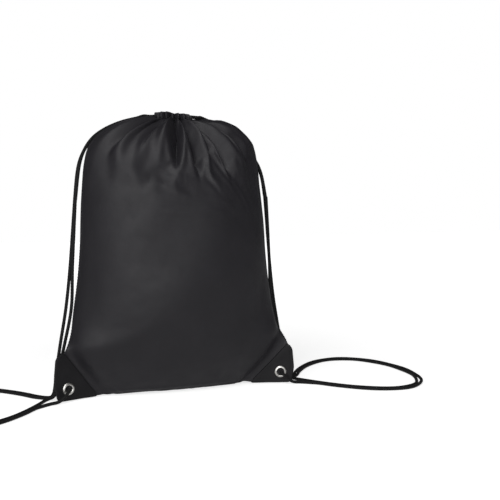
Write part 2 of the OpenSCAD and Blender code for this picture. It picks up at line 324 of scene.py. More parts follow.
def remap(tree, value, low, high, to_low, to_high):
    """The value stretched from one range to another and kept inside it."""
    return add_node(tree, "ShaderNodeMapRange", {
        "Value": value, "From Min": low, "From Max": high,
        "To Min": to_low, "To Max": to_high}).outputs[0]


def tint(colour, factor=1):
    """A colour made lighter or darker, with full cover."""
    return (*(factor * c for c in colour), 1)


def mix_colour(tree, share, a, b):
    return add_node(tree, "ShaderNodeMix", {0: share, 6: a, 7: b}, data_type="RGBA").outputs[2]


def bump(tree, height, distance, strength, normal=None):
    inputs = {"Height": height, "Distance": distance, "Strength": strength}
    if normal:
        inputs["Normal"] = normal
    return add_node(tree, "ShaderNodeBump", inputs).outputs[0]


def weave_height(tree, place, thread):
    """Plain weave: threads that rise and fall over and under each other."""
    parts = add_node(tree, "ShaderNodeSeparateXYZ", {"Vector": place})
    turn = math.pi / thread
    warp = math_node(tree, "SINE", math_node(tree, "MULTIPLY", parts.outputs[0], turn))
    weft = math_node(tree, "SINE", math_node(tree, "MULTIPLY", parts.outputs[1], turn))
    crossing = math_node(tree, "MULTIPLY", warp, weft)
    ribs = math_node(tree, "MULTIPLY", math_node(tree, "ABSOLUTE", warp), 0.5)
    return math_node(tree, "ADD", crossing, ribs)


def cloth_material(name, dark, light, thread, sheen, roughness, crumple, gloss=0.3,
                   from_object=False):
    """Coated polyester: weave, soft crumples and uneven sheen, with painted highlights on the
    raised threads and on the fold ridges.
    """
    material, tree, shader = new_material(name)
    place = place_of(tree, from_object)
    patches = noise(tree, place, 14, 4)
    weave = weave_height(tree, place, thread)
    tone = mix_colour(tree, remap(tree, patches, 0.3, 0.7, 0, 1), tint(dark), tint(light))
    # Painted highlight: the raised threads of the weave are painted lighter.
    tone = mix_colour(tree, remap(tree, weave, -1, 1.5, 0, 0.35), tone, tint(light, 1.7))
    # Painted highlight: convex fold ridges (pointiness) are painted lighter, standing in for light
    # on the crests.
    crest_highlight = add_node(tree, "ShaderNodeNewGeometry").outputs["Pointiness"]
    tone = mix_colour(tree, remap(tree, crest_highlight, 0.52, 0.62, 0, 0.4), tone, tint(light, 2.4))
    rub = remap(tree, noise(tree, place, 45, 5), 0.3, 0.7, roughness - 0.07, roughness + 0.08)
    soft = bump(tree, noise(tree, place, 22, 5, 0.5), 3 * MM, crumple)
    fine = bump(tree, noise(tree, place, 120, 3, 0.6, (1, 0.6, 1)), 0.5 * MM, crumple, soft)
    set_inputs(tree, shader, {
        "Base Color": tone, "Roughness": rub, "Normal": bump(tree, weave, 0.05 * MM, 0.35, fine),
        "Sheen Weight": sheen, "Sheen Roughness": 0.45, "Sheen Tint": (0.75, 0.76, 0.82, 1),
        "Specular IOR Level": gloss})
    return material


def braid_material(name, colour, turns, pitch, depth):
    """Braided or twisted yarn: two sets of strands crossing round the cord."""
    material, tree, shader = new_material(name)
    place = place_of(tree)
    parts = add_node(tree, "ShaderNodeSeparateXYZ", {"Vector": place})
    around = math_node(tree, "MULTIPLY", parts.outputs[0], turns / cord_r)
    along = math_node(tree, "MULTIPLY", parts.outputs[1], 2 * math.pi / pitch)
    one = math_node(tree, "SINE", math_node(tree, "ADD", around, along))
    other = math_node(tree, "SINE", math_node(tree, "SUBTRACT", around, along))
    strands = math_node(tree, "MAXIMUM", one, other)
    fuzz = noise(tree, place, 900, 4, 0.7)
    # Painted shade: the grooves between the strands are painted darker.
    shade = remap(tree, strands, -0.4, 1, 0, 1)
    tone = mix_colour(tree, shade, tint(colour, 0.35), tint(colour))
    tone = mix_colour(tree, remap(tree, fuzz, 0.45, 0.8, 0, 0.5), tone, tint(colour, 2))
    set_inputs(tree, shader, {
        "Base Color": tone, "Roughness": remap(tree, fuzz, 0.3, 0.7, 0.55, 0.8),
        "Normal": bump(tree, strands, depth, 0.7, bump(tree, fuzz, 0.1 * MM, 0.5)),
        "Specular IOR Level": 0.2, "Sheen Weight": 0.03})
    return material


def nickel_material():
    """Nickel plate: fine scratches and smudges."""
    material, tree, shader = new_material("nickel")
    place = place_of(tree, from_object=True)
    scratches = noise(tree, place, 900, 6, 0.7, (1, 1, 0.12))
    smudges = noise(tree, place, 160, 3)
    tone = mix_colour(tree, remap(tree, smudges, 0.35, 0.7, 0, 1),
                      (0.50, 0.49, 0.47, 1), (0.72, 0.71, 0.68, 1))
    set_inputs(tree, shader, {
        "Base Color": tone, "Roughness": remap(tree, scratches, 0.3, 0.75, 0.2, 0.42),
        "Normal": bump(tree, scratches, 0.05 * MM, 0.4), "Metallic": 1})
    return material


POLYESTER_DARK = (0.0092, 0.0086, 0.0104)
POLYESTER_LIGHT = (0.0136, 0.0127, 0.0152)
PATCH_DARK = (0.0044, 0.0041, 0.0049)
PATCH_LIGHT = (0.0068, 0.0064, 0.0075)
THREAD_FINE = 0.45 * MM     # spacing of the weave's threads, also in the thicker patches
THREAD_COARSE = 0.9 * MM
BRAID_STRANDS = 4           # waves round the cord, and how far along it one wave runs
BRAID_PITCH = 4.2 * MM

cloth_look = cloth_material("black_polyester", POLYESTER_DARK, POLYESTER_LIGHT, THREAD_FINE,
                            sheen=0.03, roughness=0.5, crumple=0.22, gloss=0.26)
inner_look = cloth_material("black_seam_cloth", POLYESTER_DARK, POLYESTER_LIGHT, THREAD_FINE,
                            sheen=0.03, roughness=0.5, crumple=0.2, from_object=True)
patch_look = cloth_material("black_patch_cloth", PATCH_DARK, PATCH_LIGHT, THREAD_COARSE,
                            sheen=0.01, roughness=0.5, crumple=0.3, gloss=0.2)
cord_look = braid_material("black_braid", (0.006, 0.006, 0.0065), BRAID_STRANDS, BRAID_PITCH,
                           0.35 * MM)
thread_look = braid_material("black_thread", (0.007, 0.007, 0.008), 12, 0.9 * MM, 0.08 * MM)
nickel_look = nickel_material()


# ---- the bag's cloth

COLUMNS = 96                # squares across each panel
ROWS = 92                   # squares up each panel
CLOTH_H = 1.176 * rim_z     # flat height of the cloth below the hem
CLOTH_T = 0.5 * MM
PLEATS = 19
RING_IN = 11 * MM           # inner radius of the ring of pleats
RING_OUT = hem_r - 2 * MM
ring_z = rim_z + 2.5 * MM
SIM_FRAMES = 26

# The soft filling: height, half width and half depth, each as a share of the bag's.
FILLING = np.array([
    (0, 0.50, 0.06), (0.03, 0.57, 0.26), (0.07, 0.66, 0.42), (0.13, 0.77, 0.60),
    (0.20, 0.85, 0.72), (0.30, 0.81, 0.87), (0.42, 0.762, 0.95), (0.56, 0.738, 0.95),
    (0.68, 0.728, 0.91), (0.76, 0.725, 0.86), (0.83, 0.73, 0.79), (0.89, 0.72, 0.71),
    (0.935, 0.70, 0.63), (0.97, 0.645, 0.55), (1.0, 0.565, 0.47), (1.02, 0.46, 0.39),
    (1.03, 0.33, 0.3), (1.032, 0.2, 0.2)])
TOP = FILLING[-1, 0]
# Outer edge of the flat corners up the side: height and share of the half width.
CORNER_EDGE = np.array([
    (0, 0.955), (0.02, 0.97), (0.10, 0.98), (0.15, 0.97), (0.176, 0.935), (0.205, 0.90)])
CLOTH_CLEARANCE = 3 * MM    # how far the cloth starts outside the filling
# Folds running down from the mouth on each face: place across the panel from -1 to 1,
# reach in mm, half width as a share of half the panel, and strength.
FOLDS = {
    -1: [(-0.72, 90, 0.10, 0.5), (-0.42, 80, 0.11, 0.5), (-0.07, 108, 0.12, 1.0),
         (0.12, 122, 0.10, 1.0), (0.27, 84, 0.08, 1.0), (0.44, 128, 0.12, 1.0),
         (0.66, 100, 0.11, 0.9), (0.86, 80, 0.07, 0.6)],
    1: [(-0.80, 84, 0.09, 0.7), (-0.55, 112, 0.11, 1.0), (-0.30, 90, 0.10, 0.8),
        (-0.08, 125, 0.11, 1.0), (0.15, 100, 0.10, 0.9), (0.40, 120, 0.12, 1.0),
        (0.65, 84, 0.09, 0.7), (0.85, 90, 0.07, 0.6)]}
FOLD_DEPTH = 22 * MM        # of a valley before the cloth settles
CREASE_DEPTH = 11 * MM      # further depth of the settled valleys, which sharpens them
FOLD_REACH = 150 * MM       # how far the folds reach from the mouth
FILLING_ROOM = 30 * MM      # room that the filling leaves for the folds near the mouth
FILLING_SIDES = 48
FILLING_GRIP = 3            # friction of the cloth on the filling and on the ground
GROUND_GRIP = 5
CLOTH = {                   # settings of the simulation: a light, stiff and crisp cloth
    "quality": 5, "mass": 0.05, "air_damping": 3, "pin_stiffness": 1,
    "tension_stiffness": 100, "compression_stiffness": 100, "shear_stiffness": 8,
    "bending_stiffness": 2.0, "tension_damping": 5, "compression_damping": 5,
    "shear_damping": 5, "bending_damping": 0.5,
    "use_pressure": True, "uniform_pressure_force": 0.2}
WEIGHT = 0.5                # share of gravity on the light cloth
CALMING = 10                # passes that ease the small wrinkles of the body
TUCKED = 0.8 * MM           # half the thickness of the two layers of cloth inside a patch
LAYER = 0.7 * MM            # from the bend to each layer of cloth in the flat corners
LOWEST = 1 * MM             # where the cloth starts over the floor, and how much higher
LOWEST_LIFT = 1.5 * MM      # the corners start
SEAM_LOWEST = 0.8 * MM      # the same for the bottom seam
SEAM_LIFT = 1.4 * MM
GATHERING = 90 * MM         # how far from the mouth the cloth starts to be drawn in
GATHER_POWER = 2.2          # the higher, the closer to the mouth it's drawn in
PLEAT_DEPTH = 8 * MM        # of the pleats below the ring, before the cloth settles
HELD_FROM = 112 * MM        # the corners are held outside this distance from the middle,
HELD_SLOPE = 0.8            # which grows with the height


def filling_at(h):
    """Half width and half depth of the filling at a share of the height."""
    a = half_w * np.interp(h, FILLING[:, 0], FILLING[:, 1])
    b = half_d * np.interp(h, FILLING[:, 0], FILLING[:, 2])
    return a, b


def half_outline(h):
    """From the middle of the front to the side edge at a height: x, depth and length."""
    a, b = filling_at(h)
    a, b = a + CLOTH_CLEARANCE, b + CLOTH_CLEARANCE
    t = np.linspace(0, math.pi / 2, 40)
    x, y = a * np.sin(t), b * np.cos(t)
    edge = half_w * np.interp(h, CORNER_EDGE[:, 0], CORNER_EDGE[:, 1])
    if h < CORNER_EDGE[-1, 0] and edge > a:
        flat = np.linspace(a, edge, 12)[1:]
        x, y = np.r_[x, flat], np.r_[y, np.zeros(len(flat))]
    return x, y, np.r_[0, np.cumsum(np.hypot(np.diff(x), np.diff(y)))]


def pleat_phase(turn):
    """Phase of the pleats round the mouth, a little uneven."""
    return PLEATS * turn + 0.6 * np.sin(3 * turn + 1) + 0.5 * np.sin(5 * turn + 2)


def pleat_wave(turn):
    """Zigzag of the pleats, from -1 at the hole to 1 at the outside."""
    return np.arcsin(0.97 * np.sin(pleat_phase(turn))) / (math.pi / 2)


def turn_of(face, q):
    """Angle round the mouth of a place across a panel, q from -1 at the left to 1."""
    return face * (math.pi / 2 - q * math.pi / 2)


LEVELS = np.linspace(0, TOP, 400)
CLIMB = lengths_along(np.column_stack([LEVELS * rim_z, filling_at(LEVELS)[1], 0 * LEVELS]))
CLIMB /= CLIMB[-1]


def on_the_filling(face, q, up):
    """Where a point of the flat cloth lies when it is wrapped round the filling."""
    h = float(np.interp(up / CLOTH_H, CLIMB, LEVELS))
    x_line, y_line, s_line = half_outline(h)
    s = abs(q) * s_line[-1]
    x = math.copysign(np.interp(s, s_line, x_line), q)
    z = h * rim_z
    y = face * np.interp(s, s_line, y_line) + lean(x, z) + face * LAYER
    z = max(z, LOWEST + (LOWEST_LIFT if abs(x) > 1.04 * bend_x else 0))
    if up == 0:
        y = lean(x, z)
        z = SEAM_LOWEST + SEAM_LIFT * ease(bend_x, 1.15 * bend_x, abs(x))
    if abs(q) == 1:
        y = lean(x, z)
    return np.array([x, float(y), float(z)])


def pattern_half(up):
    """Half width of the flat cloth: snug on the body, the whole width near the mouth."""
    h = float(np.interp(up / CLOTH_H, CLIMB, LEVELS))
    snug = min(half_w, float(half_outline(h)[2][-1]) + 0.5 * MM)
    loose = 1 - float(ease(0.5 * FOLD_REACH, 1.3 * FOLD_REACH, CLOTH_H - up))
    return snug + (half_w - snug) * loose


def fold(face, q, from_ring):
    """Depth of the folds, 0 on the puffed cloth and up to 1 in a sharp valley."""
    deepest = 0.0
    for place, reach, width, strength in FOLDS[face]:
        s = from_ring / (reach * MM)
        if s < 1:
            valley = max(0.0, 1 - abs(q - place) / (width * (1 - s) ** 0.6))
            along = float(ease(0, 0.3, s) * (1 - ease(0.4, 1, s)))
            deepest = max(deepest, strength * valley * along)
    return deepest


def outward_of(point):
    """Direction out of the top of the bag at a point."""
    out = np.array([0.5 * point[0], point[1], max(point[2] - 0.66 * rim_z, 0) + 20 * MM])
    return out / np.linalg.norm(out)


def start_shape(face, q, up):
    """Where a point starts: on the filling, folded near the mouth, drawn into the ring."""
    point = on_the_filling(face, q, up)
    turn = turn_of(face, q)
    from_ring = CLOTH_H - up
    near = 1 - float(ease(0, GATHERING, from_ring))
    drawn = near ** GATHER_POWER
    wave = float(pleat_wave(turn))
    r = (RING_IN + RING_OUT) / 2 + (RING_OUT - RING_IN) / 2 * wave
    ring = np.array([r * math.cos(turn), r * math.sin(turn), ring_z])
    height = PLEAT_DEPTH * math.sin(pleat_phase(turn)) * near * (1 - drawn)
    height -= FOLD_DEPTH * fold(face, q, from_ring)
    return (1 - drawn) * point + drawn * ring + height * outward_of(point)


def cloth_grid():
    """Start points, flat points, squares and the index of each point of the tube."""
    index, start, flat = {}, [], []
    ids = {face: np.zeros((ROWS + 1, COLUMNS + 1), int) for face in FACES.values()}
    for i in range(ROWS + 1):
        up = CLOTH_H * i / ROWS
        for face in FACES.values():
            for j in range(COLUMNS + 1):
                q = 2 * j / COLUMNS - 1
                layer = 0 if j in (0, COLUMNS) or i == 0 else face
                if (layer, i, j) not in index:
                    index[layer, i, j] = len(start)
                    start.append(start_shape(face, q, up))
                    flat.append((q * pattern_half(up), layer * CLOTH_T, up))
                ids[face][i, j] = index[layer, i, j]
    squares = []
    for face in FACES.values():
        g = ids[face]
        for i in range(ROWS):
            for j in range(COLUMNS):
                square = [g[i, j], g[i, j + 1], g[i + 1, j + 1], g[i + 1, j]]
                squares.append([int(v) for v in (square if face < 0 else square[::-1])])
    return np.array(start), np.array(flat), squares, ids


def add_collider(name, points, faces, grip):
    """A shape that the cloth lies on while it settles."""
    data = bpy.data.meshes.new(name)
    data.from_pydata([tuple(p) for p in points], [], faces)
    thing = link_object(name, data)
    thing.modifiers.new("collision", "COLLISION")
    thing.collision.thickness_outer = 1 * MM
    thing.collision.cloth_friction = grip
    return thing


def lumps(x, z):
    """Gentle unevenness of the things in the bag."""
    return 1.6 * MM * (math.sin(31 * x + 17 * z + 1) + math.sin(-23 * x + 37 * z + 2.6)
                       + 0.6 * math.sin(61 * x - 29 * z))


def add_filling():
    """A closed soft shape that holds the cloth out, with room for the folds at its top."""
    heights = np.r_[np.linspace(0, 0.2, 12)[:-1], np.linspace(0.2, 0.85, 24)[:-1],
                    np.linspace(0.85, TOP - 0.004, 22)]
    rows = []
    for h in heights:
        a, b = filling_at(h)
        rows.append([])
        for t in np.linspace(0, 2 * math.pi, FILLING_SIDES, endpoint=False):
            x, y = a * math.cos(t), b * math.sin(t)
            z = max(h * rim_z, 2.5 * MM) - 1 * MM
            from_ring = CLOTH_H * (1 - float(np.interp(h, LEVELS, CLIMB)))
            room = FILLING_ROOM * (1 - float(ease(0.3 * FOLD_REACH, FOLD_REACH, from_ring)))
            room *= 1 - 0.7 * abs(math.cos(t))
            out = (lumps(x, z) * ease(0.06, 0.3, h) - room) * outward_of((x, y, z))
            rows[-1].append(np.array([x, y + float(lean(x, z)), z]) + out)
    mesh = Mesh()
    add_tube(mesh, np.array(rows), heights, 1)
    return add_collider("filling", mesh.points, mesh.faces, FILLING_GRIP)


def settle(start, flat, squares):
    """Runs the cloth simulation and returns where the points of the cloth come to rest."""
    scene = bpy.context.scene
    data = bpy.data.meshes.new("settling")
    data.from_pydata([tuple(p) for p in start], [], squares)
    thing = link_object("settling", data)
    thing.shape_key_add(name="Basis")
    pattern = thing.shape_key_add(name="pattern")
    pattern.data.foreach_set("co", flat.astype(np.float32).ravel())
    held = thing.vertex_groups.new(name="held")
    in_ring = flat[:, 2] > CLOTH_H - 1 * MM
    in_corner = ((np.abs(flat[:, 0]) > HELD_FROM + HELD_SLOPE * flat[:, 2])
                 & (flat[:, 2] < patch_h - 2 * MM))
    held.add([int(i) for i in np.nonzero(in_ring | in_corner)[0]], 1.0, "REPLACE")
    ground = add_collider(
        "ground", [(-1, -1, 0), (1, -1, 0), (1, 1, 0), (-1, 1, 0)], [(0, 1, 2, 3)], GROUND_GRIP)
    filling = add_filling()
    modifier = thing.modifiers.new("cloth", "CLOTH")
    cloth = modifier.settings
    cloth.rest_shape_key = pattern
    cloth.vertex_group_mass = "held"
    for key, value in CLOTH.items():
        setattr(cloth, key, value)
    cloth.effector_weights.gravity = WEIGHT
    modifier.collision_settings.distance_min = 1 * MM
    modifier.collision_settings.collision_quality = 1
    modifier.point_cache.frame_end = SIM_FRAMES
    for step in range(1, SIM_FRAMES + 1):
        scene.frame_set(step)
    settled = thing.evaluated_get(bpy.context.evaluated_depsgraph_get())
    points = np.zeros(len(start) * 3)
    settled.data.vertices.foreach_get("co", points)
    scene.frame_set(1)
    for helper in (thing, ground, filling):
        bpy.data.objects.remove(helper)
    return points.reshape(-1, 3)


def crease(points, ids):
    """Sharpens the valleys of the settled folds."""
    for face, g in ids.items():
        for i, row in enumerate(g):
            from_ring = CLOTH_H * (1 - i / ROWS)
            for j, k in enumerate(row[1:-1], 1):
                depth = CREASE_DEPTH * fold(face, 2 * j / COLUMNS - 1, from_ring)
                points[k] -= depth * outward_of(points[k])
    return points


def calm(points, ids):
    """Eases the small wrinkles out of the bag's body and leaves the folds at the mouth.

    At the left the body is eased almost up to the mouth, elsewhere only its lower half."""
    height = (np.arange(1, ROWS) / ROWS)[:, None]
    q = 2 * np.arange(1, COLUMNS) / COLUMNS - 1
    folded = np.maximum(ease(-0.55, -0.15, q)[None, :], ease(0.9, 0.97, height))
    share = 0.5 * ease(0.02, 0.12, height) * (1 - folded * ease(0.5, 0.68, height))
    for _ in range(CALMING):
        for g in ids.values():
            sheet = points[g]
            around = (sheet[:-2, 1:-1] + sheet[2:, 1:-1] + sheet[1:-1, :-2] + sheet[1:-1, 2:]) / 4
            points[g[1:-1, 1:-1]] += share[:, :, None] * (around - sheet[1:-1, 1:-1])
            for edge in (0, COLUMNS):
                line = points[g[:, edge]]
                between = (line[:-2] + line[2:]) / 2
                points[g[1:-1, edge]] += share[:, :1] * (between - line[1:-1])
    return points


def tuck(points):
    """Keeps the cloth above the floor and flat where a corner patch is sewn over it."""
    points[:, 2] = np.maximum(points[:, 2], CLOTH_T)
    across, forward = math.cos(EAR_BEND), math.sin(EAR_BEND)
    for hand in HANDS.values():
        x, y, z = hand * points[:, 0] - bend_x, points[:, 1], points[:, 2]
        u, out = x * across - y * forward, -x * forward - y * across
        outline = patch_outline(hand, 0)
        low, top = outline[0], outline[-1]
        slope = (top - low) / np.linalg.norm(top - low)
        inside = (u - low[0]) * slope[1] - (z - low[1]) * slope[0]
        share = ease(-12 * MM, -1 * MM, inside) * (1 - ease(top[1], top[1] + 14 * MM, z))
        moved = share * (np.clip(out, -TUCKED, TUCKED) - out)
        points[:, 0] -= hand * moved * forward
        points[:, 1] -= moved * across
    return points


start, flat, squares, ids = cloth_grid()
rest = tuck(crease(calm(settle(start, flat, squares), ids), ids))
cloth_tree = BVHTree.FromPolygons([Vector(p) for p in rest], squares)


def follow_hem(thing):
    """Bakes the piece's placement into its points."""
    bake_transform(thing)


def stand_in(node):
    """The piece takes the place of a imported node."""
    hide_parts(node)


def fix_to_bag(thing, node):
    """The piece takes the place of a node and moves with the bag."""
    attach(thing, "bag")
    stand_in(node)


def add_panel(name, face):
    mesh = Mesh()
    g = ids[face]
    mesh.grid(rest[g], flat[g][:, :, (0, 2)], flip=face > 0)
    panel = mesh.build(f"cloth_{name}", cloth_look)
    subdivide(panel)
    thicken(panel, CLOTH_T, -1)
    follow_hem(panel)
    stand_in(f"{name}_panel")


for name, face in FACES.items():
    add_panel(name, face)

bottom_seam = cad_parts["bottom_seam"]
bottom_seam.data.materials.clear()
bottom_seam.data.materials.append(inner_look)

# ---- stitches

STITCH_L = 2.6 * MM
STITCH_R = 0.3 * MM
STITCH_PITCH = 4 * MM


def add_stitch(mesh, middle, run, out):
    """One stitch: a short thread that dives into the cloth at both ends."""
    share = np.linspace(-1, 1, 7)
    path = (middle + share[:, None] * run * STITCH_L / 2
            + (0.5 - share ** 4)[:, None] * out * STITCH_R)
    radii = STITCH_R * (1 - 0.55 * share ** 6)
    rings, along = tube_rings(path, radii, 8)
    add_tube(mesh, rings, along, 2 * math.pi * STITCH_R)


def stitch_line(mesh, path, outs, keep=None):
    """Stitches at an even pitch along a path with an outward direction at each point.

    keep says of a stitch's middle whether that stitch is made."""
    s = lengths_along(path)
    count = max(1, int(s[-1] / STITCH_PITCH))
    for i in range(count):
        at = s[-1] * (i + 0.5) / count
        middle = at_length(path, s, at)
        run = at_length(path, s, at + STITCH_L / 2) - at_length(path, s, at - STITCH_L / 2)
        out = at_length(outs, s, at)
        if keep is None or keep(middle):
            add_stitch(mesh, middle, run / np.linalg.norm(run), out / np.linalg.norm(out))


# ---- side seams

SEAM_FROM = 0.19            # shares of the cloth's height between which the stitches show
SEAM_TO = 0.93
SEAM_SUNK = 0.15 * MM       # how deep their middles lie in the join


def add_side_seam(name, hand):
    """Stitches lying along the join of the two panels, from the patch to the shoulder."""
    column = 0 if hand < 0 else COLUMNS
    path = rest[ids[-1][round(SEAM_FROM * ROWS):round(SEAM_TO * ROWS), column]]
    outs = np.tile((float(hand), 0.0, 0.15), (len(path), 1))
    mesh = Mesh()
    stitch_line(mesh, path - outs * SEAM_SUNK, outs)
    fix_to_bag(mesh.build(f"{name}_seam_stitches", thread_look), f"{name}_side_seam")


for name, hand in HANDS.items():
    add_side_seam(name, hand)

# ---- gathered hem

HEM_RISE = 7 * MM
HEM_LEVELS = 7
HEM_T = 1.3 * MM
HEM_INSIDE = 0.12           # of the rise, that the channel reaches below the ring
HEM_OVERLAP = 0.8 * MM


def hem_point(turn, level):
    """A point of the pleated channel, level 0 at the ring and 1 at its folded top."""
    turn = turn + 0.035 * level * math.sin(7 * turn + 0.5)
    swell = math.sin(math.pi * min(level, 1))
    reach = (RING_OUT - RING_IN) / 2 * (1 + 0.12 * swell - 0.25 * level)
    r = (RING_IN + RING_OUT) / 2 + reach * float(pleat_wave(turn)) + 1.5 * MM * level ** 2
    uneven = 0.1 * math.sin(5 * turn + 1) + 0.06 * math.sin(11 * turn) - 0.3 * math.cos(turn)
    rise = HEM_RISE * level * (1 + uneven)
    return (r * math.cos(turn), r * math.sin(turn), ring_z + rise)


def add_hem(name, face):
    levels = [-HEM_INSIDE + (1 + HEM_INSIDE) * k / HEM_LEVELS for k in range(HEM_LEVELS + 1)]
    turns = [turn_of(face, 2 * j / COLUMNS - 1) for j in range(COLUMNS + 1)]
    points = np.array([[hem_point(t, max(level, 0)) for t in turns] for level in levels])
    points[0, :, 2] -= HEM_OVERLAP
    across = lengths_along(points[0])
    uv = [[(s, CLOTH_H + HEM_RISE * level) for s in across] for level in levels]
    mesh = Mesh()
    mesh.grid(points, uv, flip=face > 0)
    hem = mesh.build(f"hem_{name}", cloth_look)
    thicken(hem, HEM_T, 0)
    subdivide(hem)
    follow_hem(hem)
    stand_in(f"{name}_hem")
    add_hem_stitches(name, face, points[2])


def add_hem_stitches(name, face, line):
    """The sewing line that closes the channel, seen on the outer turns of the pleats."""
    d = directions(line)
    outs = np.cross(d, (0, 0, 1.0)) * -face
    outs = outs / np.linalg.norm(outs, axis=1)[:, None]
    outs *= np.sign(np.sum(outs * line * (1, 1, 0), axis=1))[:, None] + 1e-6
    mesh = Mesh()
    stitch_line(mesh, line + outs * HEM_T / 2, outs,
                lambda p: math.hypot(p[0], p[1]) > 0.7 * RING_OUT)
    stitches = mesh.build(f"hem_{name}_stitches", thread_look)
    follow_hem(stitches)
    stand_in(f"{name}_hem_stitching")


for name, face in FACES.items():
    add_hem(name, face)

# ---- corner patches

PATCH_ROUND = 5 * MM        # radius of the patch's corners
PATCH_STEP = 3 * MM
PATCH_ROWS = 12             # rows of points from the eyelet to the edge, on each side
PATCH_INSET = 3.2 * MM      # from the edge of the patch to its stitches


def rounded_outline(corners, radius, step):
    """A closed outline with each corner turned by a short curve."""
    made = []
    for i, here in enumerate(corners):
        before, after = corners[i - 1], corners[(i + 1) % len(corners)]
        to_before = (before - here) / np.linalg.norm(before - here)
        to_after = (after - here) / np.linalg.norm(after - here)
        a, b = here + radius * to_before, here + radius * to_after
        for t in np.linspace(0, 1, 6):
            made.append((1 - t) ** 2 * a + 2 * t * (1 - t) * here + t * t * b)
        end = after - radius * to_after
        pieces = max(2, round(float(np.linalg.norm(end - b)) / step))
        made += [b + (end - b) * k / pieces for k in range(1, pieces)]
    return np.array(made)


def patch_softness(u, z):
    """Small rise and fall of the patch's faces away from the eyelet."""
    away = float(ease(10 * MM, 24 * MM, math.hypot(u - eyelet_u, z - eyelet_z)))
    return away * 0.6 * MM * math.sin(u * 170 + 1) * math.sin(z * 130 + 60 * u + 2)


def patch_section():
    """Share of the way out from the hole, and side: 1 the front, -1 the back."""
    front = [(k / PATCH_ROWS, 1.0) for k in range(PATCH_ROWS)]
    edge = [(1.0, math.cos(t)) for t in np.linspace(0, math.pi, 7)]
    back = [(share, -side) for share, side in reversed(front)]
    return front + edge + back


def add_patch(name, hand):
    outline = rounded_outline(patch_outline(hand, PATCH_WRAP), PATCH_ROUND, PATCH_STEP)
    hole = barrel_r + 0.6 * MM
    centre = np.array([eyelet_u, eyelet_z])
    toward = outline - centre
    toward = toward / np.linalg.norm(toward, axis=1)[:, None]
    rim = centre + toward * hole
    rows, uv = [], []
    for share, side in patch_section():
        bulge = PATCH_T * (math.sqrt(max(0.0, 1 - side * side)) - share ** 8)
        flat_points = rim + (outline - rim) * share + toward * bulge
        out = patch_face * side
        rows.append([corner_point(hand, u, out + patch_softness(u, z), z)
                     for u, z in flat_points])
        line = [(u + 0.2 * side, z) for u, z in flat_points]
        uv.append(line + line[:1])
    rows.append(rows[0])
    uv.append(uv[0])
    mesh = Mesh()
    mesh.grid(rows, uv, around=True, flip=hand < 0)
    patch = mesh.build(f"{name}_patch", patch_look)
    subdivide(patch)
    fix_to_bag(patch, f"{name}_corner_patch")


def add_patch_stitches(name, hand):
    """Sewing along the slope of the patch and up its outer edge, on both faces."""
    line = patch_outline(hand, -PATCH_INSET)
    slope = np.array([line[0] + (1.4 * PATCH_INSET, 0), line[4] + (0, -1.2 * PATCH_INSET)])
    edge = line[2:4]
    mesh = Mesh()
    for ends in (slope, edge):
        for side in (-1, 1):
            share = np.linspace(0, 1, 30)[:, None]
            run = ends[0] + share * (ends[1] - ends[0])
            path = np.array([corner_point(hand, u, side * patch_face + patch_softness(u, z), z)
                             for u, z in run])
            out = np.array(corner_point(hand, 0, side, 0)) - np.array(corner_point(hand, 0, 0, 0))
            stitch_line(mesh, path, np.tile(out, (len(path), 1)))
    fix_to_bag(mesh.build(f"{name}_patch_stitches", thread_look), f"{name}_patch_stitching")


for name, hand in HANDS.items():
    add_patch(name, hand)
    add_patch_stitches(name, hand)

# ---- eyelets

RING_SIDES = 72


def add_lathe(name, hand, profile, node):
    """A ring turned about the eyelet's axis from a closed profile of (radius, out)."""
    closed = spline([(r, out, 0) for r, out in profile + profile[:1]], 5)
    turns = [2 * math.pi * k / RING_SIDES for k in range(RING_SIDES + 1)]
    rows, uv = [], []
    for (r, out, _), s in zip(closed, lengths_along(closed)):
        rows.append([corner_point(hand, eyelet_u + r * math.cos(t), out,
                                  eyelet_z + r * math.sin(t)) for t in turns[:-1]])
        uv.append([(r * t, s) for t in turns])
    mesh = Mesh()
    mesh.grid(rows, uv, around=True, flip=hand < 0)
    fix_to_bag(mesh.build(name, nickel_look), node)


def add_eyelet(name, hand):
    """The eyelet's barrel and rolled flange, and the washer behind the patch."""
    seat = patch_face + 0.02 * MM
    lip = 1.5 * MM
    barrel = [(barrel_r, -seat - 0.9 * MM), (barrel_r, 0), (barrel_r, seat),
              (barrel_r + 0.25 * MM, seat + 0.6 * lip)]
    roll = [(barrel_r + 1.1 * MM, seat + 0.97 * lip), (flange_r - 2 * MM, seat + 0.95 * lip),
            (flange_r - 0.7 * MM, seat + 0.6 * lip), (flange_r, seat + 0.15 * lip)]
    under = [(flange_r - 0.3 * MM, seat), (barrel_r + 1.2 * MM, seat),
             (barrel_r + 0.6 * MM, 0), (barrel_r + 0.6 * MM, -seat - 0.9 * MM)]
    add_lathe(f"{name}_eyelet_ring", hand, barrel + roll + under, f"{name}_eyelet")
    bore = barrel_r + 0.65 * MM
    washer = [(bore, -seat), (flange_r - 0.3 * MM, -seat), (flange_r, -seat - 0.25 * MM),
              (flange_r - 0.8 * MM, -seat - 0.8 * MM), (bore + 1.6 * MM, -seat - 0.95 * MM),
              (bore + 0.7 * MM, -seat - 1.25 * MM), (bore, -seat - 1.0 * MM)]
    add_lathe(f"{name}_washer_ring", hand, washer, f"{name}_eyelet_washer")


for name, hand in HANDS.items():
    add_eyelet(name, hand)

# ---- cords

CORD_STEP = 1.2 * MM
CORD_SIDES = 16
LIFT = cord_r + 0.7 * MM    # height of a cord's middle above the cloth it lies on
DRAPES = 14                 # passes that draw a strap tight over the back
KNOT_SIZE = 1.75            # in mm
KNOT_OUT = 9.5              # how far the knot stands behind the bend, in mm
JOINT_AT = 0.15             # share of the slack at either end that belongs to its beginning
LOOP_POINTS = 24
PARTED = 6.5 * MM           # widest gap between the strands of a strap, low at the side


